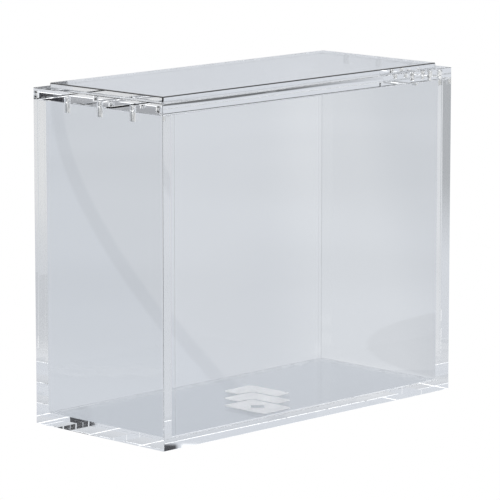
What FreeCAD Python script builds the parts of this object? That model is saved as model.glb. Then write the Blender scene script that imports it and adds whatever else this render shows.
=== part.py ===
import FreeCAD, Part

import os

import Sketcher

# Clear case for one boxed set of cards: a bonded tray of polished sheet and a loose lid that magnets hold.
# +X runs along the long side, +Y towards the back and +Z up. The origin is the middle of the underside.

SHEET = "Sizes"

# Alias, millimetres, what it is. Every other size and place is worked out from these.
DRIVING_SIZES = (
    ("cavity_length", 200.0, "room inside along the long side"),
    ("cavity_depth", 85.0, "room inside from front to back"),
    ("cavity_height", 164.0, "room inside under the lid"),
    ("end_wall", 8.0, "thickness of the two short walls, which hold the magnets"),
    ("side_wall", 5.0, "thickness of the two long walls"),
    ("base_thick", 6.0, "thickness of the base plate"),
    ("lid_thick", 6.0, "thickness of the lid plate"),
    ("panel_thick", 2.5, "thickness of the raised panel on the lid"),
    ("panel_inset", 6.0, "step from the lid's edge to the raised panel"),
    ("edge_break", 0.3, "chamfer along the polished outer edges"),
    ("magnet_wide", 4.0, "diameter of a magnet"),
    ("wall_magnet_long", 5.0, "length of a magnet in a wall"),
    ("lid_magnet_long", 3.0, "length of a magnet in the lid"),
    ("magnet_pitch", 24.0, "spacing of the magnets along a short wall"),
    ("magnet_break", 0.2, "chamfer on a magnet's rims"),
    ("hole_clearance", 0.05, "gap round a magnet, and below its face"),
    ("hole_spare", 0.1, "depth of glue behind a magnet"),
    ("card_wide", 22.0, "width of one card in the printed mark"),
    ("card_deep", 30.0, "length of one card in the printed mark"),
    ("card_round", 3.0, "corner radius of a printed card"),
    ("card_gap", 1.4, "clear gap between overlapping printed cards"),
    ("card_step", 13.0, "step from one printed card to the next"),
    ("pip_radius", 5.0, "half the width of the clear diamond in the front printed card"),
    ("mark_centre_x", -5.0, "middle of the printed mark along X"),
    ("mark_centre_y", -10.0, "middle of the printed mark along Y"),
    ("ink_thick", 0.1, "thickness of the print"),
)

# Lengths that several pieces share, as expressions on the sheet.
OUTER_LENGTH = "(Sizes.cavity_length + 2 * Sizes.end_wall)"
OUTER_DEPTH = "(Sizes.cavity_depth + 2 * Sizes.side_wall)"
WALL_TOP = "(Sizes.base_thick + Sizes.cavity_height)"
LID_TOP = "(%s + Sizes.lid_thick)" % WALL_TOP
END_WALL_MIDDLE = "(Sizes.cavity_length / 2 + Sizes.end_wall / 2)"
SIDE_WALL_MIDDLE = "(Sizes.cavity_depth / 2 + Sizes.side_wall / 2)"
HOLE_RADIUS = "(Sizes.magnet_wide / 2 + Sizes.hole_clearance)"
WALL_HOLE_DEEP = "(Sizes.wall_magnet_long + Sizes.hole_clearance + Sizes.hole_spare)"
LID_HOLE_DEEP = "(Sizes.lid_magnet_long + Sizes.hole_clearance + Sizes.hole_spare)"

SIDES = (("left", -1), ("right", 1))
ROWS = (("front", -1), ("middle", 0), ("back", 1))
CARDS = ("front", "middle", "back")

START_SIZE = 10.0  # half the size at which a sketch is drawn, before its constraints set it
ORIGIN = (-1, 1)  # the sketch origin, as a constraint names it
X_AXIS = -1
Y_AXIS = -2


def make_sheet(doc):
    """Make the spreadsheet of driving sizes."""
    sheet = doc.addObject("Spreadsheet::Sheet", SHEET)
    for row, (alias, value, note) in enumerate(DRIVING_SIZES, start=1):
        sheet.set("A%d" % row, alias)
        sheet.set("B%d" % row, repr(value))
        sheet.set("C%d" % row, note)
        sheet.setAlias("B%d" % row, alias)
    doc.recompute()
    return sheet


def signed(sign, expression):
    """Multiply an expression by a whole number, and give 0 for none of it."""
    return "0" if sign == 0 else "%d * %s" % (sign, expression)


def place(thing, **axes):
    """Bind the thing's position to expressions, one for each axis that is given."""
    for axis, expression in axes.items():
        thing.setExpression("Placement.Base.%s" % axis, expression)


def new_body(doc, label):
    """Make an empty body with its own label."""
    body = doc.addObject("PartDesign::Body", label)
    body.Label = label
    return body


def new_sketch(body, name, height=None):
    """Attach a sketch to the body's own XY plane, raised by height if that is given."""
    plane = [item for item in body.Origin.OriginFeatures if item.Role == "XY_Plane"][0]
    sketch = body.newObject("Sketcher::SketchObject", name)
    sketch.AttachmentSupport = [(plane, "")]
    sketch.MapMode = "FlatFace"
    if height is not None:
        sketch.setExpression("AttachmentOffset.Base.z", height)
    return sketch


def bind(sketch, name, constraint, expression):
    """Add a constraint with a name and bind it to an expression."""
    index = sketch.addConstraint(constraint)
    sketch.renameConstraint(index, name)
    sketch.setExpression("Constraints.%s" % name, expression)


def draw_rectangle(sketch, along_x, along_y):
    """Draw a rectangle centred on the sketch origin."""
    signs = ((-1, -1), (1, -1), (1, 1), (-1, 1))
    corners = [FreeCAD.Vector(START_SIZE * sx, START_SIZE * sy, 0) for sx, sy in signs]
    for side in range(4):
        sketch.addGeometry(Part.LineSegment(corners[side], corners[(side + 1) % 4]), False)
    for side in range(4):
        sketch.addConstraint(Sketcher.Constraint("Coincident", side, 2, (side + 1) % 4, 1))
    for side in (0, 2):
        sketch.addConstraint(Sketcher.Constraint("Horizontal", side))
    for side in (1, 3):
        sketch.addConstraint(Sketcher.Constraint("Vertical", side))
    sketch.addConstraint(Sketcher.Constraint("Symmetric", 0, 1, 1, 2, *ORIGIN))
    bind(sketch, "along_x", Sketcher.Constraint("DistanceX", 0, 1, 0, 2, 2 * START_SIZE), along_x)
    bind(sketch, "along_y", Sketcher.Constraint("DistanceY", 1, 1, 1, 2, 2 * START_SIZE), along_y)


def draw_circle(sketch, radius, sign_x=0, offset_x="", sign_y=0, offset_y=""):
    """Draw a circle at signed offsets from the sketch origin, on an axis where a sign is 0."""
    start = FreeCAD.Vector(START_SIZE * sign_x, START_SIZE * sign_y, 0)
    circle = sketch.addGeometry(Part.Circle(start, FreeCAD.Vector(0, 0, 1), 1.0), False)
    bind(sketch, "radius_%d" % circle, Sketcher.Constraint("Radius", circle, 1.0), radius)
    ways = (("DistanceX", sign_x, offset_x, Y_AXIS), ("DistanceY", sign_y, offset_y, X_AXIS))
    for kind, sign, offset, axis in ways:
        if sign == 0:
            sketch.addConstraint(Sketcher.Constraint("PointOnObject", circle, 3, axis))
            continue
        ends = ORIGIN + (circle, 3) if sign > 0 else (circle, 3) + ORIGIN
        bind(sketch, "%s_%d" % (kind, circle), Sketcher.Constraint(kind, *ends, START_SIZE), offset)


def draw_magnet_row(sketch, sign_x=0, offset_x=""):
    """Draw the three magnet holes of one short wall."""
    for _, sign_y in ROWS:
        draw_circle(sketch, HOLE_RADIUS, sign_x, offset_x, sign_y, "Sizes.magnet_pitch")


def pad(body, sketch, length):
    """Raise a sketch into a solid."""
    feature = body.newObject("PartDesign::Pad", "Pad")
    feature.Profile = sketch
    feature.setExpression("Length", length)
    sketch.Visibility = False
    body.Document.recompute()
    return feature


def drill(body, sketch, depth, upwards):
    """Cut the sketch's circles to a depth, down into the piece or up into it."""
    before = body.Shape.Volume
    feature = body.newObject("PartDesign::Pocket", "Holes")
    feature.Profile = sketch
    feature.Reversed = upwards
    feature.setExpression("Length", depth)
    sketch.Visibility = False
    body.Document.recompute()
    if body.Shape.Volume >= before:
        raise RuntimeError("The holes of %s cut nothing" % body.Label)


def break_edges(body, base, chosen, size):
    """Chamfer those edges of the base feature that the test chosen picks by their middle point."""
    box = base.Shape.BoundBox
    names = []
    for number, edge in enumerate(base.Shape.Edges, start=1):
        if chosen(edge.CenterOfGravity, box):
            names.append("Edge%d" % number)
    feature = body.newObject("PartDesign::Chamfer", "EdgeBreak")
    feature.Base = (base, names)
    feature.setExpression("Size", size)
    body.Document.recompute()


def upright(point, box):
    """Pick the edges at half height, which are the upright ones."""
    return abs(point.z - box.Center.z) < box.ZLength / 4


def not_on_top(point, box):
    """Pick all edges but those of the top face."""
    return point.z < box.ZMax - box.ZLength / 4


def not_underneath(point, box):
    """Pick all edges but those of the underside."""
    return point.z > box.ZMin + box.ZLength / 4


def every_edge(point, box):
    """Pick all edges."""
    return True


def rims(point, box):
    """Pick the edges round the two ends of an upright cylinder."""
    return not upright(point, box)


def make_plate(doc, label, along_x, along_y, thick, chosen=None):
    """Make a rectangular sheet, centred on its own origin and standing on it."""
    body = new_body(doc, label)
    sketch = new_sketch(body, "Outline")
    draw_rectangle(sketch, along_x, along_y)
    blank = pad(body, sketch, thick)
    if chosen is not None:
        break_edges(body, blank, chosen, "Sizes.edge_break")
    return body


def make_base(doc):
    """The base plate lies under all four walls, flush with their outer faces."""
    return make_plate(doc, "base_plate", OUTER_LENGTH, OUTER_DEPTH, "Sizes.base_thick", not_on_top)


def make_end_walls(doc):
    """The short walls run the whole depth and hold three magnets each in their top edge."""
    walls = []
    for side, sign in SIDES:
        body = make_plate(doc, side + "_wall", "Sizes.end_wall", OUTER_DEPTH, "Sizes.cavity_height")
        sketch = new_sketch(body, "MagnetHoles", "Sizes.cavity_height")
        draw_magnet_row(sketch)
        drill(body, sketch, WALL_HOLE_DEEP, upwards=False)
        place(body, x=signed(sign, END_WALL_MIDDLE), z="Sizes.base_thick")
        walls.append(body)
    return walls


def make_side_walls(doc):
    """The long walls stand between the short ones, flush with their ends."""
    walls = []
    for side, sign in (("front", -1), ("back", 1)):
        body = make_plate(doc, side + "_wall", "Sizes.cavity_length", "Sizes.side_wall", "Sizes.cavity_height")
        place(body, y=signed(sign, SIDE_WALL_MIDDLE), z="Sizes.base_thick")
        walls.append(body)
    return walls


def make_lid(doc):
    """The lid plate covers the walls and has blind magnet holes in its underside."""
    body = make_plate(doc, "lid_plate", OUTER_LENGTH, OUTER_DEPTH, "Sizes.lid_thick", every_edge)
    sketch = new_sketch(body, "MagnetHoles")
    for _, sign in SIDES:
        draw_magnet_row(sketch, sign, END_WALL_MIDDLE)
    drill(body, sketch, LID_HOLE_DEEP, upwards=True)
    place(body, z=WALL_TOP)
    return body


def make_raised_panel(doc):
    """The raised panel is bonded on top of the lid plate, set in from its edges all round."""
    along_x = "(%s - 2 * Sizes.panel_inset)" % OUTER_LENGTH
    along_y = "(%s - 2 * Sizes.panel_inset)" % OUTER_DEPTH
    body = make_plate(doc, "lid_raised_panel", along_x, along_y, "Sizes.panel_thick", not_underneath)
    place(body, z=LID_TOP)
    return body


def make_magnet(doc, label, length, **position):
    """Make one upright disc magnet with broken rims."""
    body = new_body(doc, label)
    sketch = new_sketch(body, "Outline")
    draw_circle(sketch, "Sizes.magnet_wide / 2")
    blank = pad(body, sketch, length)
    break_edges(body, blank, rims, "Sizes.magnet_break")
    place(body, **position)
    return body


def make_magnets(doc):
    """Put a magnet in each hole of the short walls, and one above it in the lid."""
    magnets = []
    wall_foot = "%s - Sizes.hole_clearance - Sizes.wall_magnet_long" % WALL_TOP
    lid_foot = "%s + Sizes.hole_clearance" % WALL_TOP
    for side, sign_x in SIDES:
        for row, sign_y in ROWS:
            where = {"x": signed(sign_x, END_WALL_MIDDLE), "y": signed(sign_y, "Sizes.magnet_pitch")}
            name = "magnet_%s_%s" % (side, row)
            magnets.append(make_magnet(doc, "wall_" + name, "Sizes.wall_magnet_long", z=wall_foot, **where))
            magnets.append(make_magnet(doc, "lid_" + name, "Sizes.lid_magnet_long", z=lid_foot, **where))
    return magnets


def make_card_block(doc, name, centre, margin=None):
    """Make the rounded block of one printed card, grown on each side by a margin where one is named."""
    wide = "Sizes.card_wide"
    deep = "Sizes.card_deep"
    radius = doc.Sizes.get("card_round")
    if margin is not None:
        wide = "(%s + 2 * Sizes.%s)" % (wide, margin)
        deep = "(%s + 2 * Sizes.%s)" % (deep, margin)
        radius += doc.Sizes.get(margin)
    block = doc.addObject("Part::Box", name + "_block")
    block.setExpression("Length", wide)
    block.setExpression("Width", deep)
    block.setExpression("Height", "Sizes.ink_thick")
    place(block, x="%s - %s / 2" % (centre[0], wide), y="%s - %s / 2" % (centre[1], deep))
    place(block, z="Sizes.base_thick")
    doc.recompute()
    box = block.Shape.BoundBox
    rounded = doc.addObject("Part::Fillet", name)
    rounded.Base = block
    for number, edge in enumerate(block.Shape.Edges, start=1):
        if upright(edge.CenterOfGravity, box):
            rounded.Edges = rounded.Edges + [(number, radius, radius)]
    return rounded


def open_diamond(doc, card, centre):
    """Leave a clear diamond in the middle of a printed card."""
    pip = doc.addObject("Part::Prism", card.Name + "_pip")
    pip.Polygon = 4
    pip.setExpression("Circumradius", "Sizes.pip_radius")
    pip.setExpression("Height", "Sizes.ink_thick")
    place(pip, x=centre[0], y=centre[1], z="Sizes.base_thick")
    opened = doc.addObject("Part::Cut", card.Name + "_opened")
    opened.Base = card
    opened.Tool = pip
    return opened


def make_mark(doc):
    """The printed mark on the base: three blank cards, each partly hidden by the one before it."""
    showing = []
    covers = []
    for number, name in enumerate(CARDS):
        step = "%d * Sizes.card_step" % (number - 1)
        centre = ("Sizes.mark_centre_x + %s" % step, "Sizes.mark_centre_y + %s" % step)
        face = make_card_block(doc, name + "_card", centre)
        if not covers:
            face = open_diamond(doc, face, centre)
        for cover in covers:
            cut = doc.addObject("Part::Cut", "%s_less_%s" % (name, cover.Name))
            cut.Base = face
            cut.Tool = cover
            face = cut
        showing.append(face)
        covers.append(make_card_block(doc, name + "_cover", centre, "card_gap"))
    mark = doc.addObject("Part::MultiFuse", "printed_mark")
    mark.Label = "printed_mark"
    mark.Shapes = showing
    return mark


def check_document(doc):
    """Stop if any object of the document failed to compute."""
    for thing in doc.Objects:
        if "Invalid" in thing.State or "Error" in thing.State:
            raise RuntimeError("%s did not compute: %s" % (thing.Label, thing.State))


def write_steps(pieces):
    """Check each piece's shape and write it to a file of its own."""
    for piece in pieces:
        shape = piece.Shape
        if shape.isNull() or not shape.isValid() or not shape.Solids:
            raise RuntimeError("%s has no sound shape" % piece.Label)
    os.makedirs("parts", exist_ok=True)
    for piece in pieces:
        piece.Shape.exportStep("parts/%s.step" % piece.Label)
        box = piece.Shape.BoundBox
        size = (box.XLength, box.YLength, box.ZLength)
        print("%-26s %7.2f x %7.2f x %7.2f mm, %d solid(s)" % ((piece.Label,) + size + (len(piece.Shape.Solids),)))


def main():
    """Build the case and write its pieces."""
    doc = FreeCAD.newDocument("card_box_case")
    make_sheet(doc)
    pieces = [make_base(doc)]
    pieces += make_end_walls(doc)
    pieces += make_side_walls(doc)
    pieces += [make_lid(doc), make_raised_panel(doc)]
    pieces += make_magnets(doc)
    pieces.append(make_mark(doc))
    doc.recompute()
    check_document(doc)
    write_steps(pieces)


main()
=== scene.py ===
"""Clear display case for a boxed card set: polished sheet, a loose lid and the magnets that hold it.

The tray is a base plate with four walls bonded on it. The lid is a plate with a thinner panel bonded on top.
Everything is in metres, with +X along the long side, +Y towards the back and +Z up.
"""

import logging
import math
from dataclasses import dataclass, field
from enum import Enum
from typing import Any, Callable, Iterable, Optional, Sequence, Union

import bpy
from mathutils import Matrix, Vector


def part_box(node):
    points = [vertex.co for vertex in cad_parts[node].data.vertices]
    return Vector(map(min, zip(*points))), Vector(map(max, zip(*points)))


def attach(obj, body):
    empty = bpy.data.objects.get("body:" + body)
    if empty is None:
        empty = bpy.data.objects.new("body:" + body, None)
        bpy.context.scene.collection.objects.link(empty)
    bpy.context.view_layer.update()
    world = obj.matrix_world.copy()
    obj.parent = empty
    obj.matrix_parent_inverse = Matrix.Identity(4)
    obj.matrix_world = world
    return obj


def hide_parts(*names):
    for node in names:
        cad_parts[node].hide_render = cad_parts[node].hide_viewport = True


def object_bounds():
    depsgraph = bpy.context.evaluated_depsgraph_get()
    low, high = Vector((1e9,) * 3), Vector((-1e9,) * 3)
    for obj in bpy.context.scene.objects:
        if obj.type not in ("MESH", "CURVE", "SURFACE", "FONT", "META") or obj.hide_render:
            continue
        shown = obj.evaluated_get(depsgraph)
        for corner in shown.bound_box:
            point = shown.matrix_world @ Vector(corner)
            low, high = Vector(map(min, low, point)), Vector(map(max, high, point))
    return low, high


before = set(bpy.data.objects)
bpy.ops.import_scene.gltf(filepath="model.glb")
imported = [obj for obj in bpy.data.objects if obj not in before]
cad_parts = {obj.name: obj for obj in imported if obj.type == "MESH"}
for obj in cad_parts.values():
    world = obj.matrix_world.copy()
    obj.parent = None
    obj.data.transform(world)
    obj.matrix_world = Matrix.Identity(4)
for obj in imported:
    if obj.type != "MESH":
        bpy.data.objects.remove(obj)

CAD_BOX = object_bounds()
MM = 0.001

log = logging.getLogger("card_case")


class Side(Enum):
    """The two short ends of the case."""

    LEFT = "left"
    RIGHT = "right"


class Row(Enum):
    """The three places of a magnet along a short wall."""

    FRONT = "front"
    MIDDLE = "middle"
    BACK = "back"


class Body(Enum):
    """The two bodies that the pieces ride on."""

    TRAY = "tray"
    LID = "lid"


class Slot(Enum):
    """The material slots of the record."""

    SHEET = "clear_sheet"
    NICKEL = "nickel_plate"
    INK = "white_ink"


# ---------------------------------------------------------------- shader building


class Term:
    """A shader socket that takes part in Python arithmetic, each operator adding a Math node."""

    def __init__(self, shader: "Shader", socket: bpy.types.NodeSocket) -> None:
        """Keep the socket and the shader that it belongs to."""
        self.shader = shader
        self.socket = socket

    def _math(self, operation: str, *values: "Number") -> "Term":
        """Add a Math node.

        Args:
            operation: The node's operation.
            values: Its inputs, in order.

        Returns:
            The node's result.
        """
        inputs = dict(enumerate(values))
        return self.shader.add("ShaderNodeMath", {"operation": operation}, inputs)

    def __add__(self, other: "Number") -> "Term":
        """Add."""
        return self._math("ADD", self, other)

    __radd__ = __add__

    def __sub__(self, other: "Number") -> "Term":
        """Subtract."""
        return self._math("SUBTRACT", self, other)

    def __rsub__(self, other: "Number") -> "Term":
        """Subtract from a number."""
        return self._math("SUBTRACT", other, self)

    def __mul__(self, other: "Number") -> "Term":
        """Multiply."""
        return self._math("MULTIPLY", self, other)

    __rmul__ = __mul__

    def __gt__(self, other: "Number") -> "Term":
        """Give 1 where this is greater, and 0 elsewhere."""
        return self._math("GREATER_THAN", self, other)

    def __lt__(self, other: "Number") -> "Term":
        """Give 1 where this is less, and 0 elsewhere."""
        return self._math("LESS_THAN", self, other)

    def maximum(self, other: "Number") -> "Term":
        """Give the greater of two numbers."""
        return self._math("MAXIMUM", self, other)

    def turn_from(self, other: "Number") -> "Term":
        """Give the angle of the pair of numbers, in radians."""
        return self._math("ARCTAN2", self, other)

    def absolute(self) -> "Term":
        """Drop the sign."""
        return self._math("ABSOLUTE", self)

    def ramp(self, start: float, end: float) -> "Term":
        """Rise smoothly from 0 to 1.

        Args:
            start: The value where the result leaves 0.
            end: The value where it reaches 1.

        Returns:
            The smooth step between the two.
        """
        settings = {"interpolation_type": "SMOOTHSTEP"}
        return self.shader.add("ShaderNodeMapRange", settings, {0: self, 1: start, 2: end})


Number = Union[float, Term]
Colour = Union[Sequence[float], Term]


class Shader:
    """Builds one node tree by adding nodes and wiring them as they are made."""

    def __init__(self, tree: bpy.types.NodeTree) -> None:
        """Clear the tree."""
        self.tree = tree
        tree.nodes.clear()

    def add(
        self,
        kind: str,
        settings: Optional[dict[str, Any]] = None,
        inputs: Optional[dict[Union[int, str], Any]] = None,
        output: Union[int, str] = 0,
    ) -> Term:
        """Add any node.

        Args:
            kind: The node's type.
            settings: Its properties, set first.
            inputs: The value or the link of each socket, by its name or its number.
            output: The socket to give back.

        Returns:
            The chosen output.
        """
        node = self.tree.nodes.new(kind)
        for name, value in (settings or {}).items():
            setattr(node, name, value)
        for key, value in (inputs or {}).items():
            if isinstance(value, Term):
                self.tree.links.new(value.socket, node.inputs[key])
            else:
                node.inputs[key].default_value = value
        return Term(self, node.outputs[output]) if node.outputs else Term(self, None)

    def output_of(self, term: Term, name: Union[int, str]) -> Term:
        """Give another output of the node that a term comes from."""
        return Term(self, term.socket.node.outputs[name])

    def place(
        self, scale: Sequence[float] = (1.0, 1.0, 1.0), turn: Sequence[float] = (0.0, 0.0, 0.0)
    ) -> Term:
        """Give Object coordinates, scaled and turned.

        Args:
            scale: The scale along each axis.
            turn: The turn about each axis, in radians.

        Returns:
            The coordinates.
        """
        source = self.add("ShaderNodeTexCoord", output="Object")
        return self.add("ShaderNodeMapping", inputs={"Vector": source, "Scale": scale, "Rotation": turn})

    def noise(self, where: Term, scale: float, detail: float) -> Term:
        """Add cloudy noise.

        Args:
            where: The coordinates.
            scale: How many lumps lie along a metre, about.
            detail: How many finer layers are added.

        Returns:
            The noise, from 0 to 1.
        """
        inputs = {"Vector": where, "Scale": scale, "Detail": detail}
        return self.add("ShaderNodeTexNoise", inputs=inputs)

    def tint(self, factor: Number, low: "Colour", high: "Colour") -> Term:
        """Mix two colours.

        Args:
            factor: 0 for the first colour and 1 for the second.
            low: The first colour.
            high: The second colour.

        Returns:
            The mixed colour.
        """
        low, high = (end if isinstance(end, Term) else (*end, 1.0) for end in (low, high))
        return self.add("ShaderNodeMix", {"data_type": "RGBA"}, {0: factor, 6: low, 7: high}, output=2)

    def split(self, vector: Term) -> list[Term]:
        """Give a vector's three components."""
        parts = self.add("ShaderNodeSeparateXYZ", inputs={0: vector})
        return [self.output_of(parts, axis) for axis in range(3)]

    def bump(self, height: Number, distance: float) -> Term:
        """Turn a height into a normal.

        Args:
            height: The height, in units of distance.
            distance: How far a height of 1 stands out, in metres.

        Returns:
            The normal.
        """
        return self.add("ShaderNodeBump", inputs={"Height": height, "Distance": distance, "Strength": 1.0})

    def finish(self, surface: Term) -> None:
        """Send a surface to the material's output."""
        self.add("ShaderNodeOutputMaterial", inputs={"Surface": surface})


def new_material(name: str) -> tuple[bpy.types.Material, Shader]:
    """Make a node material with an empty tree.

    Args:
        name: Its name.

    Returns:
        The material and a shader that adds to its tree.
    """
    material = bpy.data.materials.new(name)
    material.use_nodes = True
    return material, Shader(material.node_tree)


# ---------------------------------------------------------------- finishes


@dataclass(frozen=True)
class Bonds:
    """Where sheets are cemented to each other, with nothing left to see between them.

    Fields:
        floor_top: The height of the base's top, under the walls.
        inner_x: Half the length of the cavity, where the long walls meet the short ones.
        inner_y: Half its depth.
        lid_top: The height of the lid plate's top, under the raised panel.
        panel_x: Half the length of the raised panel.
        panel_y: Half its depth.
        reach: How near a face has to lie to count.
        square: How squarely it has to face the bond.
    """

    floor_top: float
    inner_x: float
    inner_y: float
    lid_top: float
    panel_x: float
    panel_y: float
    reach: float = 0.05 * MM
    square: float = 0.9

    @classmethod
    def of_frame(cls) -> "Bonds":
        """Read the bonds from the CAD nodes.

        Returns:
            The bonds.
        """
        base, front, left = (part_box(node) for node in ("base_plate", "front_wall", "left_wall"))
        plate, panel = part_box("lid_plate"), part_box("lid_raised_panel")
        return cls(base[1][2], -left[1][0], -front[1][1], plate[1][2], panel[1][0], panel[1][1])

    def mask(self, shader: Shader) -> Term:
        """Give 1 on a bonded face and 0 elsewhere.

        Args:
            shader: The shader to add to.

        Returns:
            The mask.
        """
        across, along, up = shader.split(shader.add("ShaderNodeTexCoord", output="Object"))
        across, along = across.absolute(), along.absolute()
        facing = [part.absolute() > self.square for part in shader.split(
            shader.add("ShaderNodeTexCoord", output="Normal"))]
        under_walls = ((up - self.floor_top).absolute() < self.reach) * facing[2]
        under_walls = under_walls * ((across - self.inner_x).maximum(along - self.inner_y) > 0.0)
        wall_ends = ((across - self.inner_x).absolute() < self.reach) * facing[0]
        wall_ends = wall_ends * (along > self.inner_y)
        under_panel = ((up - self.lid_top).absolute() < self.reach) * facing[2]
        under_panel = under_panel * ((across - self.panel_x).maximum(along - self.panel_y) < 0.0)
        return under_walls.maximum(wall_ends).maximum(under_panel)


@dataclass(frozen=True)
class ClearSheet:
    """Cast clear sheet with polished faces and diamond-cut edges.

    Fields:
        bonds: Where the sheets are cemented, and nothing shows.
        name: The material's name.
        low_tint: The tint where the haze is thinnest.
        high_tint: The tint where it is thickest.
        refraction: The index of refraction.
        thin_axis: The axis across the sheet's thickness.
        edge_shade: How far the eased edges' colour is darkened towards black, as painted shade.
        edge_square: How squarely a face has to face an axis not to count as an eased edge.
        haze_scale: How many lumps of haze lie along a metre, about.
        cut_marks: How many tool marks lie along a metre of cut edge, about.
        cut_stretch: How much coarser the marks are across the thickness, as a share.
        cut_depth: The depth of a tool mark.
        cast_waves: How many waves of the casting lie along a metre, about.
        cast_depth: The height of a wave.
        hairlines: The way each set of hairlines runs, in radians, and how closely they lie.
        hairline_stretch: How much coarser the noise is along a hairline, as a share.
        hairline_reach: The noise where a hairline begins and is full.
        patch_scale: How many patches of hairlines lie along a metre, about.
        patch_reach: The noise where a patch begins and is full.
        scratch_rough: The roughness of a hairline.
    """

    bonds: Bonds
    name: str = "clear_sheet"
    low_tint: tuple[float, float, float] = (0.955, 0.968, 0.982)
    high_tint: tuple[float, float, float] = (0.97, 0.978, 0.988)
    refraction: float = 1.49
    thin_axis: int = 2
    edge_shade: float = 0.0
    edge_square: float = 0.98
    haze_scale: float = 14.0
    cut_marks: float = 2600.0
    cut_stretch: float = 0.02
    cut_depth: float = 0.00000015
    cast_waves: float = 9.0
    cast_depth: float = 0.00002
    hairlines: tuple[tuple[float, float], ...] = ((0.4, 900.0), (2.1, 1200.0))
    hairline_stretch: float = 0.04
    hairline_reach: tuple[float, float] = (0.735, 0.76)
    patch_scale: float = 25.0
    patch_reach: tuple[float, float] = (0.52, 0.66)
    scratch_rough: float = 0.05

    def scratches(self, shader: Shader, turn: float, scale: float) -> Term:
        """Give fine hairlines that run one way.

        Args:
            shader: The shader to add to.
            turn: The way they run, in radians.
            scale: How closely they lie.

        Returns:
            1 on a hairline and 0 elsewhere.
        """
        where = shader.place((self.hairline_stretch, 1.0, 1.0), (turn, turn * 0.7, turn * 1.3))
        fine = shader.noise(where, scale, 1.0)
        patches = shader.noise(shader.place(), self.patch_scale, 1.0).ramp(*self.patch_reach)
        return fine.ramp(*self.hairline_reach) * patches

    def build(self) -> bpy.types.Material:
        """Make the material.

        Returns:
            The material.
        """
        material, shader = new_material(self.name)
        position = shader.place()
        haze = shader.noise(position, self.haze_scale, 3.0)
        colour = shader.tint(haze, self.low_tint, self.high_tint)
        facing = [part.absolute() for part in shader.split(shader.add("ShaderNodeTexCoord", output="Normal"))]
        on_edge = facing[self.thin_axis] < 0.5
        # Painted shade: where edge_shade is set, the eased edges' colour is darkened towards black, standing
        # in for the dark lines a clear edge shows.
        on_break = facing[0].maximum(facing[1]).maximum(facing[2]) < self.edge_square
        colour = shader.tint(on_break * self.edge_shade, colour, (0.0, 0.0, 0.0))
        first, second = (self.scratches(shader, turn, scale) for turn, scale in self.hairlines)
        roughness = (first + second) * self.scratch_rough
        stretch = [1.0, 1.0, 1.0]
        stretch[self.thin_axis] = self.cut_stretch
        marks = shader.noise(shader.place(stretch), self.cut_marks, 0.0)
        waves = shader.noise(position, self.cast_waves, 0.0)
        height = marks * on_edge * (self.cut_depth / self.cast_depth) + waves * (1 - on_edge)
        normal = shader.bump(height, self.cast_depth)
        surface = shader.add("ShaderNodeBsdfPrincipled", inputs={
            "Base Color": colour, "Roughness": roughness, "Normal": normal, "IOR": self.refraction,
            "Alpha": 1 - self.bonds.mask(shader), "Transmission Weight": 1.0})
        shader.finish(surface)
        return material


@dataclass(frozen=True)
class NickelPlate:
    """Bright nickel plate on a small magnet.

    Fields:
        name: The material's name.
        bright: The colour where the plate is clean.
        dull: The colour where it is clouded.
        cloud_scale: How many clouds lie along a metre, about.
        cloud_reach: The noise where a cloud begins and is full.
        grain_scale: How many grains lie along a metre, about.
        grain_height: The height of a grain.
        polish: The roughness where nothing adds to it.
        cloud_rough: How much roughness the clouds add.
        grain_rough: How much roughness the grain adds.
    """

    name: str = "nickel_plate"
    bright: tuple[float, float, float] = (0.93, 0.92, 0.90)
    dull: tuple[float, float, float] = (0.74, 0.73, 0.71)
    cloud_scale: float = 900.0
    cloud_reach: tuple[float, float] = (0.35, 0.7)
    grain_scale: float = 9000.0
    grain_height: float = 0.000004
    polish: float = 0.04
    cloud_rough: float = 0.14
    grain_rough: float = 0.06

    def build(self) -> bpy.types.Material:
        """Make the material.

        Returns:
            The material.
        """
        material, shader = new_material(self.name)
        position = shader.place()
        cloud = shader.noise(position, self.cloud_scale, 3.0)
        grain = shader.noise(position, self.grain_scale, 2.0)
        colour = shader.tint(cloud.ramp(*self.cloud_reach), self.bright, self.dull)
        roughness = cloud * self.cloud_rough + grain * self.grain_rough + self.polish
        normal = shader.bump(grain, self.grain_height)
        surface = shader.add("ShaderNodeBsdfPrincipled", inputs={
            "Base Color": colour, "Metallic": 1.0, "Roughness": roughness, "Normal": normal})
        shader.finish(surface)
        return material


@dataclass(frozen=True)
class WhiteInk:
    """Opaque white screen-printed ink.

    Fields:
        name: The material's name.
        thick: The colour where the ink is thick.
        thin: The colour where it is thin.
        gloss: How much it mirrors.
        cover_scale: How many thick and thin places lie along a metre, about.
        cover_reach: The noise where the ink begins to thin and is thinnest.
        mesh_scale: How many marks of the screen lie along a metre, about.
        mesh_height: The height of a mark.
        matt: The roughness where the ink is thick.
        cover_rough: How much roughness the thin places add.
    """

    name: str = "white_ink"
    thick: tuple[float, float, float] = (0.93, 0.93, 0.94)
    thin: tuple[float, float, float] = (0.86, 0.87, 0.88)
    gloss: float = 0.12
    cover_scale: float = 400.0
    cover_reach: tuple[float, float] = (0.4, 0.75)
    mesh_scale: float = 6000.0
    mesh_height: float = 0.00001
    matt: float = 0.45
    cover_rough: float = 0.2

    def build(self) -> bpy.types.Material:
        """Make the material.

        Returns:
            The material.
        """
        material, shader = new_material(self.name)
        position = shader.place()
        mesh_marks = shader.noise(position, self.mesh_scale, 1.0)
        cover = shader.noise(position, self.cover_scale, 3.0)
        colour = shader.tint(cover.ramp(*self.cover_reach), self.thick, self.thin)
        roughness = cover * self.cover_rough + self.matt
        normal = shader.bump(mesh_marks, self.mesh_height)
        surface = shader.add("ShaderNodeBsdfPrincipled", inputs={
            "Base Color": colour, "Roughness": roughness, "Normal": normal, "Specular IOR Level": self.gloss})
        shader.finish(surface)
        return material


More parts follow.
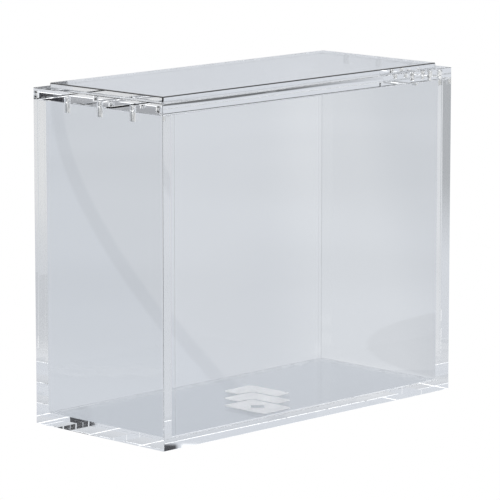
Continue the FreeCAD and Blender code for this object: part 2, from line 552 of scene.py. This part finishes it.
@dataclass(frozen=True)
class SweepPaper:
    """The pale floor, which glows rather than taking light: white to look at, and a soft grey where the case
    mirrors or refracts it, with painted shade and light in the grey.

    The pools lie in the floor's turned axes, the first to the right of the way through the case and the
    second along it.

    Fields:
        name: The material's name.
        under: The painted shade under the case: the darker grey there.
        open: The grey around it.
        lit: The grey on the side of the key light, in front of the case.
        shade: The grey on the side away from it, left of and behind the case.
        side_reach: How far from the case the lit and shaded sides begin and are full.
        under_reach: How far outside the case's foot the painted shade under it has gone, and where it is
            full.
        turn: The turn of the pools' axes, in degrees.
        pools: Round pools of shade or light: the middle's two places, the radius, the share and the tone.
        pool_soft: Half the width of a pool's soft rim.
        streak: A streak of light along the second axis: its place, half width, soft rim and share.
        streak_start: How far along the second axis the streak starts.
        patch_scale: How many patches lie along a metre, about.
        patch_reach: The noise where a patch begins and is full.
        patch_depth: How much darker the darkest patches are.
    """

    name: str = "sweep_paper"
    under: tuple[float, float, float] = (0.50, 0.525, 0.56)
    open: tuple[float, float, float] = (0.69, 0.712, 0.75)
    lit: tuple[float, float, float] = (0.84, 0.845, 0.85)
    shade: tuple[float, float, float] = (0.42, 0.435, 0.455)
    side_reach: tuple[float, float] = (0.15, 0.45)
    under_reach: tuple[float, float] = (0.012, -0.012)
    turn: float = 45.6
    pools: tuple[tuple[float, float, float, float, float], ...] = (
        (9.41, 1.85, 9.60, 0.08, 0.0),
        (9.42, 1.85, 9.60, 0.15, 1.0),
        (0.21, 0.17, 0.14, 0.09, 0.0),
    )
    pool_soft: float = 0.002
    streak: tuple[float, float, float, float] = (0.066, 0.018, 0.045, 0.20)
    streak_start: float = 0.1
    patch_scale: float = 3.0
    patch_reach: tuple[float, float] = (0.35, 0.65)
    patch_depth: float = 0.04

    def around(self, shader: Shader) -> Term:
        """Give the floor's soft greys, with their painted shade and light.

        Args:
            shader: The shader to add to.

        Returns:
            The colour.
        """
        place = shader.place()
        across, along, _ = shader.split(place)
        half_x, half_y = CAD_BOX[1][0], CAD_BOX[1][1]
        outside = (across.absolute() - half_x).maximum(along.absolute() - half_y)
        # Painted shade: a darker grey under the case's foot, fading out just past it.
        colour = shader.tint(outside.ramp(*self.under_reach), self.open, self.under)
        # Painted light in front of the case and painted shade left of and behind it.
        colour = shader.tint((along * -1).ramp(*self.side_reach), colour, self.lit)
        colour = shader.tint((across * -1).ramp(*self.side_reach) * (along > 0.0), colour, self.shade)
        turned = shader.place(turn=(0.0, 0.0, math.radians(self.turn)))
        for right, away, radius, share, tone in self.pools:
            reach = shader.add("ShaderNodeVectorMath", {"operation": "DISTANCE"},
                               {0: turned, 1: (right, away, 0.0)}, output="Value")
            inside = reach.ramp(radius + self.pool_soft, radius - self.pool_soft) * share
            colour = shader.tint(inside, colour, (tone, tone, tone))
        middle, half, soft, share = self.streak
        right, away, _ = shader.split(turned)
        inside = (right - middle).absolute().ramp(half + soft, half) * (away > self.streak_start) * share
        colour = shader.tint(inside, colour, (1.0, 1.0, 1.0))
        patches = shader.noise(place, self.patch_scale, 1.0).ramp(*self.patch_reach) * self.patch_depth
        return shader.tint(patches, colour, (0.0, 0.0, 0.0))

    def build(self) -> bpy.types.Material:
        """Make the material.

        Returns:
            The material.
        """
        material, shader = new_material(self.name)
        # The floor glows: grey where the case mirrors or refracts it, white to the camera.
        grey = shader.add("ShaderNodeEmission", inputs={"Color": self.around(shader)})
        white = shader.add("ShaderNodeEmission", inputs={"Color": (1.0, 1.0, 1.0, 1.0)})
        seen = shader.add("ShaderNodeLightPath", output="Is Camera Ray")
        surface = shader.add("ShaderNodeMixShader", inputs={0: seen, 1: grey, 2: white})
        shader.finish(surface)
        return material


@dataclass(frozen=True)
class StudioCard:
    """A pale or dark card far off in the studio, which shows only in what the sheets mirror and refract.

    Fields:
        turn: The place of its middle round the case, in degrees, 0 in front and 90 on the right.
        rise: Its height above the horizon, in degrees.
        half_turn: Half its width, in degrees.
        half_rise: Half its height, in degrees.
        light: Its colour.
        soft: The width of its soft rim, in degrees.
        lean: How far its middle rises for each degree of turn.
        fade: How much wider the soft rim is at its two ends, in degrees.
    """

    turn: float
    rise: float
    half_turn: float
    half_rise: float
    light: tuple[float, float, float]
    soft: float = 0.5
    lean: float = 0.0
    fade: float = 0.0

    def over(self, shader: Shader, room: Term, turn: Term, rise: Term) -> Term:
        """Put the card in front of what lies behind it.

        Args:
            shader: The world's shader.
            room: What lies behind.
            turn: The angle of a way round the case, in degrees.
            rise: Its angle above the horizon, in degrees.

        Returns:
            The colour with the card in it.
        """
        inside = (turn - self.turn).absolute().ramp(self.half_turn + self.soft + self.fade, self.half_turn)
        level = rise - (turn - self.turn) * self.lean - self.rise
        inside = inside * level.absolute().ramp(self.half_rise + self.soft, self.half_rise)
        return shader.tint(inside, room, self.light)


# ---------------------------------------------------------------- mesh helpers


def deselect() -> None:
    """Leave edit mode and deselect every object."""
    if bpy.context.object and bpy.context.object.mode != "OBJECT":
        bpy.ops.object.mode_set(mode="OBJECT")
    bpy.ops.object.select_all(action="DESELECT")


def settle(name: str) -> bpy.types.Object:
    """Put the active object's place, turn and scale into its mesh and name it.

    Args:
        name: The object's name.

    Returns:
        The object.
    """
    thing = bpy.context.object
    bpy.ops.object.transform_apply(location=True, rotation=True, scale=True)
    thing.name = name
    thing.data.name = name
    return thing


def pick(thing: bpy.types.Object, kind: str, test: Callable[[Vector], bool]) -> int:
    """Select parts of a mesh in edit mode by a test on their middles.

    Args:
        thing: The object, in edit mode.
        kind: EDGE or FACE.
        test: Says of a middle whether it is chosen.

    Returns:
        How many parts are selected.
    """
    bpy.ops.mesh.select_mode(type=kind)
    bpy.ops.mesh.select_all(action="DESELECT")
    bpy.ops.object.mode_set(mode="OBJECT")
    mesh = thing.data
    chosen = 0
    if kind == "EDGE":
        for edge in mesh.edges:
            ends = [mesh.vertices[number].co for number in edge.vertices]
            edge.select = test((ends[0] + ends[1]) / 2)
            chosen += edge.select
    else:
        for face in mesh.polygons:
            face.select = test(face.center)
            chosen += face.select
    bpy.ops.object.mode_set(mode="EDIT")
    return chosen


def cut_with(thing: bpy.types.Object, tools: Iterable[bpy.types.Object]) -> None:
    """Cut solids out of an object and delete them.

    Args:
        thing: The object to cut.
        tools: The solids.
    """
    for tool in tools:
        deselect()
        thing.select_set(True)
        bpy.context.view_layer.objects.active = thing
        cut = thing.modifiers.new("cut", "BOOLEAN")
        cut.operation = "DIFFERENCE"
        cut.solver = "EXACT"
        cut.object = tool
        bpy.ops.object.modifier_apply(modifier=cut.name)
        bpy.data.objects.remove(tool, do_unlink=True)


def add_cylinder(name: str, centre: Vector, radius: float, depth: float, sides: int = 48) -> bpy.types.Object:
    """Make an upright cylinder.

    Args:
        name: Its name.
        centre: Its middle.
        radius: Its radius.
        depth: Its height.
        sides: How many sides it has.

    Returns:
        The cylinder.
    """
    deselect()
    bpy.ops.mesh.primitive_cylinder_add(vertices=sides, radius=radius, depth=depth, location=centre)
    return settle(name)


def hand_over(
    piece: bpy.types.Object, material: bpy.types.Material, node: str, body: Body
) -> None:
    """Dress a finished piece, hide the CAD node that it replaces and put it on the body that it rides on.

    Args:
        piece: The piece.
        material: Its material.
        node: The CAD node that it replaces.
        body: The body that it rides on.
    """
    deselect()
    piece.data.materials.clear()
    piece.data.materials.append(material)
    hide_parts(node)
    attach(piece, body.value)
    log.info("%s: %d faces", piece.name, len(piece.data.polygons))


# ---------------------------------------------------------------- the case


@dataclass
class Sheet:
    """One rectangular sheet with softly broken edges.

    Fields:
        node: The CAD node that it stands for.
        thin_axis: The axis across its thickness.
        joined: The faces that meet another sheet, as axis and sign, pulled back by the bond line.
        seams: More faces whose edges run along a seam.
        square: Faces whose edges are left square.
        loose: The faces that only rest on another sheet, pulled back by the same gap.
        bond: The thickness of a bond line.
        edge: The radius along its free edges.
        seam_edge: The radius along the edges in a seam.
        segments: How many steps round a free edge.
        seam_segments: How many steps round an edge in a seam.
    """

    node: str
    thin_axis: int
    joined: tuple[tuple[int, int], ...] = ()
    seams: tuple[tuple[int, int], ...] = ()
    square: tuple[tuple[int, int], ...] = ()
    loose: tuple[tuple[int, int], ...] = ()
    bond: float = 0.03 * MM
    edge: float = 0.3 * MM
    seam_edge: float = 0.12 * MM
    segments: int = 3
    seam_segments: int = 2

    def corners(self) -> tuple[Vector, Vector]:
        """Give the sheet's corners, pulled back at the bond lines.

        Returns:
            The lowest and the highest corner.
        """
        low, high = (Vector(corner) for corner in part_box(self.node))
        for axis, sign in self.joined + self.loose:
            if sign < 0:
                low[axis] += self.bond
            else:
                high[axis] -= self.bond
        return low, high

    def build(self) -> bpy.types.Object:
        """Make the sheet.

        Returns:
            The sheet's object.
        """
        low, high = self.corners()
        deselect()
        bpy.ops.mesh.primitive_cube_add(size=1.0, location=(low + high) / 2, scale=high - low)
        sheet = settle("clear_" + self.node)
        bpy.ops.object.mode_set(mode="EDIT")

        def on(faces: tuple[tuple[int, int], ...], point: Vector) -> bool:
            """Say whether the middle of an edge lies on one of the faces."""
            levels = [(axis, (low if sign < 0 else high)[axis]) for axis, sign in faces]
            return any(abs(point[axis] - level) < self.seam_edge / 2 for axis, level in levels)

        seams = self.joined + self.seams
        if pick(sheet, "EDGE", lambda point: not on(seams + self.square, point)):
            bpy.ops.mesh.bevel(offset=self.edge, segments=self.segments, affect="EDGES")
        if pick(sheet, "EDGE", lambda point: on(seams, point) and not on(self.square, point)):
            bpy.ops.mesh.bevel(offset=self.seam_edge, segments=self.seam_segments, affect="EDGES")
        bpy.ops.object.mode_set(mode="OBJECT")
        return sheet


@dataclass
class MagnetPlaces:
    """Where the magnets stand, read from their CAD nodes.

    Fields:
        clearance: The gap between a magnet and its hole.
        overshoot: How far a hole's tool stands out of the sheet.
    """

    clearance: float = 0.05 * MM
    overshoot: float = 1.0 * MM

    @staticmethod
    def names(part: str) -> list[str]:
        """Give the node names of one part's magnets, wall or lid."""
        return ["%s_magnet_%s_%s" % (part, side.value, row.value) for side in Side for row in Row]

    def hole_tool(self, node: str, mouth: int) -> bpy.types.Object:
        """Make the solid that cuts one magnet's hole.

        Args:
            node: The magnet's CAD node.
            mouth: 1 where the hole opens upwards and -1 where it opens downwards.

        Returns:
            The tool.
        """
        low, high = (Vector(corner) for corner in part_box(node))
        radius = (high.x - low.x) / 2 + self.clearance
        bottom, top = low.z - self.clearance, high.z + self.clearance
        if mouth > 0:
            top += self.overshoot
        else:
            bottom -= self.overshoot
        centre = (low + high) / 2
        centre.z = (bottom + top) / 2
        return add_cylinder("hole_tool", centre, radius, top - bottom)


@dataclass
class Magnet:
    """A nickel-plated disc magnet with rounded rims.

    Fields:
        node: The CAD node that it stands for.
        rim: The radius of its rims.
        land: The width of the flat ring inside a rim.
        rim_steps: How many steps round a rim.
        rim_level: How far from its middle a rim lies at least, as a share of its depth.
        end_level: How far from its middle an end face lies at least, as a share of its depth.
        smooth_angle: Faces that meet at less than this angle are shaded as one, in degrees.
    """

    node: str
    rim: float = 0.25 * MM
    land: float = 0.12 * MM
    rim_steps: int = 4
    rim_level: float = 0.49
    end_level: float = 0.4999
    smooth_angle: float = 40.0

    def build(self) -> bpy.types.Object:
        """Make the magnet.

        Returns:
            The magnet's object.
        """
        low, high = (Vector(corner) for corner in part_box(self.node))
        radius, depth = (high.x - low.x) / 2, high.z - low.z
        magnet = add_cylinder("plated_" + self.node, (low + high) / 2, radius, depth)
        bpy.ops.object.mode_set(mode="EDIT")
        middle = (low.z + high.z) / 2
        pick(magnet, "EDGE", lambda point: abs(point.z - middle) > depth * self.rim_level)
        bpy.ops.mesh.bevel(offset=self.rim, segments=self.rim_steps, affect="EDGES")
        pick(magnet, "FACE", lambda point: abs(point.z - middle) > depth * self.end_level)
        bpy.ops.mesh.inset(thickness=self.land)
        bpy.ops.object.mode_set(mode="OBJECT")
        bpy.ops.object.shade_smooth_by_angle(angle=math.radians(self.smooth_angle))
        return magnet


@dataclass
class Tray:
    """The bonded tray's base, walls and magnets. Its print is made apart.

    Fields:
        holes: Where its magnets stand.
    """

    holes: MagnetPlaces = field(default_factory=MagnetPlaces)

    def sheets(self) -> list[Sheet]:
        """List the tray's sheets."""
        return [
            Sheet("base_plate", 2, joined=((2, 1),), square=((2, 1),), edge=0.18 * MM),
            Sheet("left_wall", 0, seams=((0, 1),), square=((2, -1),)),
            Sheet("right_wall", 0, seams=((0, -1),), square=((2, -1),), seam_edge=0.3 * MM),
            Sheet("front_wall", 1, joined=((0, -1), (0, 1)), edge=0.18 * MM),
            Sheet("back_wall", 1, joined=((0, -1), (0, 1)), square=((2, -1),)),
        ]

    def build(self, clear: dict[int, bpy.types.Material], nickel: bpy.types.Material) -> None:
        """Make and dress the tray's sheets and magnets.

        Args:
            clear: The clear sheet's material for each thin axis.
            nickel: The magnets' material.
        """
        for sheet in self.sheets():
            piece = sheet.build()
            for side in Side:
                if sheet.node == side.value + "_wall":
                    mine = [name for name in self.holes.names("wall") if side.value in name]
                    cut_with(piece, [self.holes.hole_tool(name, 1) for name in mine])
            hand_over(piece, clear[sheet.thin_axis], sheet.node, Body.TRAY)
        for name in self.holes.names("wall"):
            hand_over(Magnet(name).build(), nickel, name, Body.TRAY)


@dataclass
class Lid:
    """The loose lid: plate, raised panel and magnets.

    Fields:
        holes: Where its magnets stand.
    """

    holes: MagnetPlaces = field(default_factory=MagnetPlaces)

    def build(self, clear: bpy.types.Material, panel_painted_edges: bpy.types.Material, nickel: bpy.types.Material) -> None:
        """Make and dress the lid's sheets and magnets.

        Args:
            clear: The lid plate's material.
            panel_painted_edges: The raised panel's material, its eased edges darkened near black with painted
                shade.
            nickel: The magnets' material.
        """
        plate = Sheet("lid_plate", 2, loose=((2, -1),)).build()
        cut_with(plate, [self.holes.hole_tool(name, -1) for name in self.holes.names("lid")])
        hand_over(plate, clear, "lid_plate", Body.LID)
        panel = Sheet("lid_raised_panel", 2, joined=((2, -1),), square=((2, -1),), edge=0.6 * MM).build()
        hand_over(panel, panel_painted_edges, "lid_raised_panel", Body.LID)
        for name in self.holes.names("lid"):
            hand_over(Magnet(name).build(), nickel, name, Body.LID)


@dataclass
class PrintedCards:
    """The print on the base: a fan of blank cards, each but the front one partly hidden by the one before.

    The front card is whole, and a clear diamond is left in it.

    Fields:
        node: The CAD node that it stands for.
        count: How many cards there are.
        step: The step from one card to the next, along X and along Y.
        gap: The clear gap round the card in front.
        corner: The radius of a card's corners.
        diamond: Half the width of the clear diamond.
        corner_steps: How many steps round a corner.
    """

    node: str = "printed_mark"
    count: int = 3
    step: float = 13.0 * MM
    gap: float = 1.4 * MM
    corner: float = 3.0 * MM
    diamond: float = 5.0 * MM
    corner_steps: int = 8

    def block(self, centre: Vector, size: Vector, radius: float) -> bpy.types.Object:
        """Make a block with rounded upright edges.

        Args:
            centre: Its middle.
            size: Its size along each axis.
            radius: The radius of its upright edges.

        Returns:
            The block.
        """
        deselect()
        bpy.ops.mesh.primitive_cube_add(size=1.0, location=centre, scale=size)
        block = settle("card_block")
        bpy.ops.object.mode_set(mode="EDIT")
        pick(block, "EDGE", lambda point: abs(point.z - centre.z) < size.z / 4)
        bpy.ops.mesh.bevel(offset=radius, segments=self.corner_steps, affect="EDGES")
        bpy.ops.object.mode_set(mode="OBJECT")
        return block

    def open_diamond(self, card: bpy.types.Object, centre: Vector, size: Vector) -> None:
        """Leave a clear diamond in the middle of a card.

        Args:
            card: The card.
            centre: Its middle.
            size: Its size along each axis.
        """
        deselect()
        depth = 3 * size.z
        bpy.ops.mesh.primitive_cylinder_add(vertices=4, radius=self.diamond, depth=depth, location=centre)
        cut_with(card, [settle("diamond")])

    def build(self, ink: bpy.types.Material) -> None:
        """Make and dress the print.

        Args:
            ink: Its material.
        """
        low, high = (Vector(corner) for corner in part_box(self.node))
        spread = (self.count - 1) * self.step
        size = Vector((high.x - low.x - spread, high.y - low.y - spread, high.z - low.z))
        first = low + size / 2
        grown = size + Vector((2 * self.gap, 2 * self.gap, 2 * size.z))
        cards = []
        for number in range(self.count):
            centre = first + number * Vector((self.step, self.step, 0.0))
            card = self.block(centre, size, self.corner)
            if number == 0:
                self.open_diamond(card, centre, size)
            else:
                before = centre - Vector((self.step, self.step, 0.0))
                cut_with(card, [self.block(before, grown, self.corner + self.gap)])
            cards.append(card)
        deselect()
        for card in cards:
            card.select_set(True)
        bpy.context.view_layer.objects.active = cards[0]
        bpy.ops.object.join()
        print_piece = settle("inked_cards")
        hand_over(print_piece, ink, self.node, Body.TRAY)


# ---------------------------------------------------------------- studio


@dataclass
class Studio:
    """The floor, the surroundings, the soft light over the case and the camera.

    Fields:
        floor_half: Half the width of the floor.
        floor_drop: How far the floor lies below the case, so that their faces never coincide.
        horizon: The grey of the walls round the case.
        overhead: The light from above, and that of the fill card.
        overhead_rise: How high above the horizon it begins and is full, in degrees.
        flag: The near black of the flags.
        lamp_at: Where the softbox stands.
        lamp_aim: What it points at.
        lamp_size: Its width and height.
        lamp_power: Its power in watts.
        azimuth: The camera's angle round the case, in degrees, 0 from the front.
        elevation: Its angle above the horizon, in degrees.
        distance: Its distance from the aim.
        lens: Its focal length, in millimetres.
        aim_right: How far right of the case's middle it aims.
        aim_up: How far above the case's middle it aims.
        bounces: How often light may turn, since the ways along the inside of a sheet are long.
        mirror_bounces: How often it may be mirrored.
    """

    floor_half: float = 30.0
    floor_drop: float = 0.2 * MM
    horizon: tuple[float, float, float] = (0.685, 0.71, 0.755)
    overhead: tuple[float, float, float] = (1.8, 1.8, 1.8)
    overhead_rise: tuple[float, float] = (18.0, 34.0)
    flag: tuple[float, float, float] = (0.02, 0.02, 0.025)
    lamp_at: tuple[float, float, float] = (0.3, -0.6, 1.6)
    lamp_aim: tuple[float, float, float] = (0.0, 0.0, 0.09)
    lamp_size: tuple[float, float] = (0.5, 0.5)
    lamp_power: float = 4.0
    azimuth: float = -45.59
    elevation: float = 9.68
    distance: float = 1.9105
    lens: float = 260.5
    aim_right: float = 1.53 * MM
    aim_up: float = -5.16 * MM
    bounces: int = 96
    mirror_bounces: int = 64

    def build_floor(self) -> None:
        """Make the floor."""
        deselect()
        bpy.ops.mesh.primitive_plane_add(size=2 * self.floor_half, location=(0.0, 0.0, -self.floor_drop))
        floor = settle("sweep_paper")
        floor.data.materials.append(SweepPaper().build())

    def cards(self) -> list[StudioCard]:
        """List the cards that stand round the case.

        Returns:
            The cards, each in front of the ones before it.
        """
        fill = StudioCard(130.0, 25.0, 12.0, 5.0, self.overhead, 3.0)
        base_left_flag = StudioCard(42.5, 12.5, 0.5, 0.3, self.flag, 0.1)
        lid_left_flag = StudioCard(137.65, 7.12, 0.3, 0.33, self.flag, 0.06)
        lid_left_grey = StudioCard(43.4, 7.45, 1.6, 0.5, (0.4, 0.41, 0.43), 0.1)
        dark = (0.1, 0.105, 0.11)
        lid_front_line = StudioCard(134.95, 7.272, 0.9, 0.018, dark, 0.012, lean=0.122, fade=2.2)
        base_front_flag = StudioCard(135.75, 13.2, 0.12, 0.4, self.flag, 0.08)
        base_front_glint = StudioCard(135.25, 13.2, 0.22, 0.4, (1.4, 1.4, 1.4), 0.08)
        key = StudioCard(-45.0, 25.0, 30.0, 22.0, (1.2, 1.2, 1.2), 6.0)
        on_left = [base_left_flag, lid_left_flag, lid_left_grey]
        on_front = [lid_front_line, base_front_flag, base_front_glint]
        return [fill, *on_left, *on_front, key]

    def build_world(self) -> None:
        """Make the surroundings: grey round the horizon, bright overhead, and the cards."""
        world = bpy.data.worlds.new("studio")
        world.use_nodes = True
        bpy.context.scene.world = world
        shader = Shader(world.node_tree)
        along, across, up = shader.split(shader.add("ShaderNodeTexCoord", output="Generated"))
        turn = along.turn_from(across * -1) * math.degrees(1.0)
        level = shader.add("ShaderNodeMath", {"operation": "ARCCOSINE"}, {0: up})
        rise = 90 - level * math.degrees(1.0)
        room = shader.tint(rise.ramp(*self.overhead_rise), self.horizon, self.overhead)
        for card in self.cards():
            room = card.over(shader, room, turn, rise)
        grey = shader.add("ShaderNodeBackground", inputs={"Color": room, "Strength": 1.0})
        white = shader.add("ShaderNodeBackground", inputs={"Color": (1.0, 1.0, 1.0, 1.0), "Strength": 1.0})
        seen = shader.add("ShaderNodeLightPath", output="Is Camera Ray")
        surface = shader.add("ShaderNodeMixShader", inputs={0: seen, 1: grey, 2: white})
        shader.add("ShaderNodeOutputWorld", inputs={"Surface": surface})

    def add_softbox(
        self, name: str, place: Vector, target: Vector, size: tuple[float, float], power: float
    ) -> None:
        """Add a soft rectangular light.

        Args:
            name: Its name.
            place: Where it stands.
            target: What it points at.
            size: Its width and height.
            power: Its power in watts.
        """
        light = bpy.data.lights.new(name, "AREA")
        light.shape = "RECTANGLE"
        light.size, light.size_y = size
        light.energy = power
        lamp = bpy.data.objects.new(name, light)
        bpy.context.scene.collection.objects.link(lamp)
        lamp.location = place
        lamp.rotation_mode = "QUATERNION"
        lamp.rotation_quaternion = (target - place).to_track_quat("-Z", "Y")
        lamp.visible_camera = False

    def build_camera(self) -> None:
        """Make the camera."""
        low, high = (Vector(corner) for corner in CAD_BOX)
        turn, tilt = math.radians(self.azimuth), math.radians(self.elevation)
        back = Vector((math.sin(turn) * math.cos(tilt), -math.cos(turn) * math.cos(tilt), math.sin(tilt)))
        right = Vector((math.cos(turn), math.sin(turn), 0.0))
        aim = (low + high) / 2 + right * self.aim_right + back.cross(right) * self.aim_up
        data = bpy.data.cameras.new("camera")
        data.lens = self.lens
        data.sensor_width = 36.0
        data.clip_start, data.clip_end = 0.01, 100.0
        camera = bpy.data.objects.new("camera", data)
        bpy.context.scene.collection.objects.link(camera)
        camera.rotation_mode = "QUATERNION"
        camera.location = aim + back * self.distance
        camera.rotation_quaternion = (-back).to_track_quat("-Z", "Y")
        bpy.context.scene.camera = camera

    def build(self) -> None:
        """Make the floor, the surroundings, the softbox and the camera."""
        self.build_floor()
        self.build_world()
        at, aim = Vector(self.lamp_at), Vector(self.lamp_aim)
        self.add_softbox("softbox_over", at, aim, self.lamp_size, self.lamp_power)
        self.build_camera()
        scene = bpy.context.scene
        scene.view_settings.view_transform = "Standard"
        scene.cycles.max_bounces = self.bounces
        scene.cycles.transmission_bounces = self.bounces
        scene.cycles.glossy_bounces = self.mirror_bounces
        scene.cycles.use_denoising = True


def main() -> None:
    """Build the case and the studio round it."""
    logging.basicConfig(level=logging.INFO, format="%(name)s %(message)s")
    bonds = Bonds.of_frame()
    clear = {axis: ClearSheet(bonds, "clear_sheet_" + "xyz"[axis], thin_axis=axis).build() for axis in (1, 2)}
    # Painted shade: both end walls get a darker copy of the clear sheet, so that the case's left end reads
    # shaded.
    shaded_end_low, shaded_end_high = (0.93, 0.944, 0.955), (0.945, 0.954, 0.964)
    clear[0] = ClearSheet(bonds, "clear_sheet_x", shaded_end_low, shaded_end_high, thin_axis=0).build()
    # Painted shade: the raised panel's eased edges are coloured near black.
    panel_painted_edges = ClearSheet(bonds, "clear_sheet_panel_painted_edges", edge_shade=1.0).build()
    nickel = NickelPlate().build()
    Tray().build(clear, nickel)
    Lid().build(clear[2], panel_painted_edges, nickel)
    PrintedCards().build(WhiteInk().build())
    Studio().build()


if __name__ == "__main__":
    main()
